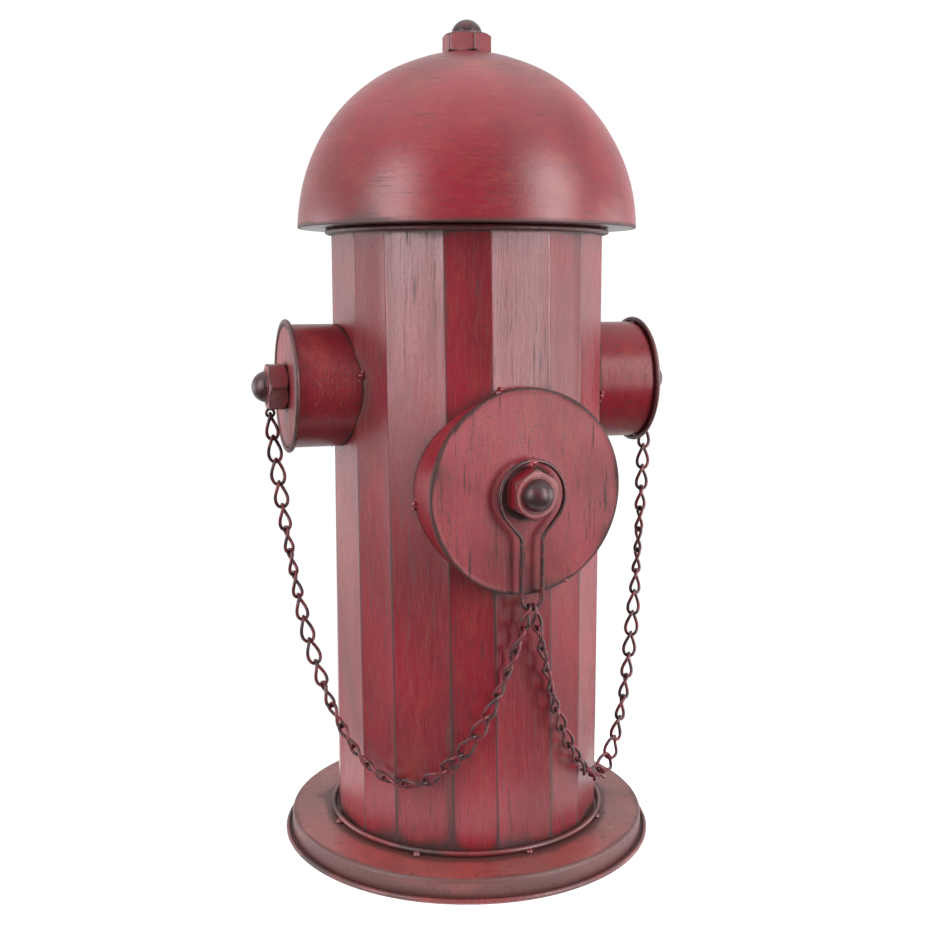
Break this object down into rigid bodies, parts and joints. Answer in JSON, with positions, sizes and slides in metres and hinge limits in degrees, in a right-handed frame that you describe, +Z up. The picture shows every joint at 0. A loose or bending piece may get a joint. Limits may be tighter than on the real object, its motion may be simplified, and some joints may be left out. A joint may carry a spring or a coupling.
{
  "type": "fire hydrant garden ornament",
  "caption": "Sheet-metal ornamental fire hydrant with folded round body, lift-off dome lid, capped outlets, front wire hanger and two hanging chains.",
  "frame": {"origin": "middle of the base on the ground", "axes": "+Z up; side outlets along -X and +X; front outlet towards -Y"},
  "size_m": [0.1926, 0.1688, 0.3628],
  "materials": {
    "red_paint": "satin red paint with brown wear",
    "base_paint": "satin brown-red paint, stained",
    "worn_edge_paint": "worn dark red paint on wire",
    "dark_ball": "dark rubbed paint",
    "dark_wire": "dark brown-red wire"
  },
  "bodies": {
    "hydrant": {"base_pan": "base_paint", "base_rim_ring": "worn_edge_paint", "foot_ring": "worn_edge_paint", "foot_ring_tacks": "worn_edge_paint", "body_shell": "red_paint", "mouth_ring": "worn_edge_paint", "outlet_tacks": "red_paint", "front_outlet_drum": "red_paint", "front_cap": "red_paint", "front_cap_nut": "red_paint", "front_cap_ball": "dark_ball", "wire_hanger": "dark_wire", "hanger_tacks": "dark_wire", "left_outlet_drum": "red_paint", "left_cap_disc": "red_paint", "left_cap_bead": "worn_edge_paint", "left_cap_nut": "red_paint", "left_cap_ball": "dark_ball", "left_chain_eye": "dark_wire", "right_outlet_drum": "red_paint", "right_cap_disc": "red_paint", "right_cap_bead": "worn_edge_paint", "right_cap_nut": "red_paint", "right_cap_ball": "dark_ball", "right_chain_eye": "dark_wire"},
    "lid": {"lid_dome": "red_paint", "lid_base_plate": "red_paint", "lid_locating_band": "red_paint", "lid_nut": "red_paint", "lid_ball": "dark_ball"},
    "left_chain": {"left_chain_links": "dark_wire"},
    "right_chain": {"right_chain_links": "dark_wire"}
  },
  "joints": [
    {"name": "lid_lift", "type": "slide", "parent": "hydrant", "child": "lid", "axis": [0, 0, 1], "range_m": [0, 0.12]},
    {"name": "left_chain_swing", "type": "hinge", "parent": "hydrant", "child": "left_chain", "pos_m": [-0.08845, 0, 0.19435], "axis": [-0.6836, 0.4849, 0.5454], "range_deg": [0, 30]},
    {"name": "right_chain_swing", "type": "hinge", "parent": "hydrant", "child": "right_chain", "pos_m": [0.08845, 0, 0.19405], "axis": [-0.6248, -0.5189, -0.5834], "range_deg": [0, 30]}
  ]
}
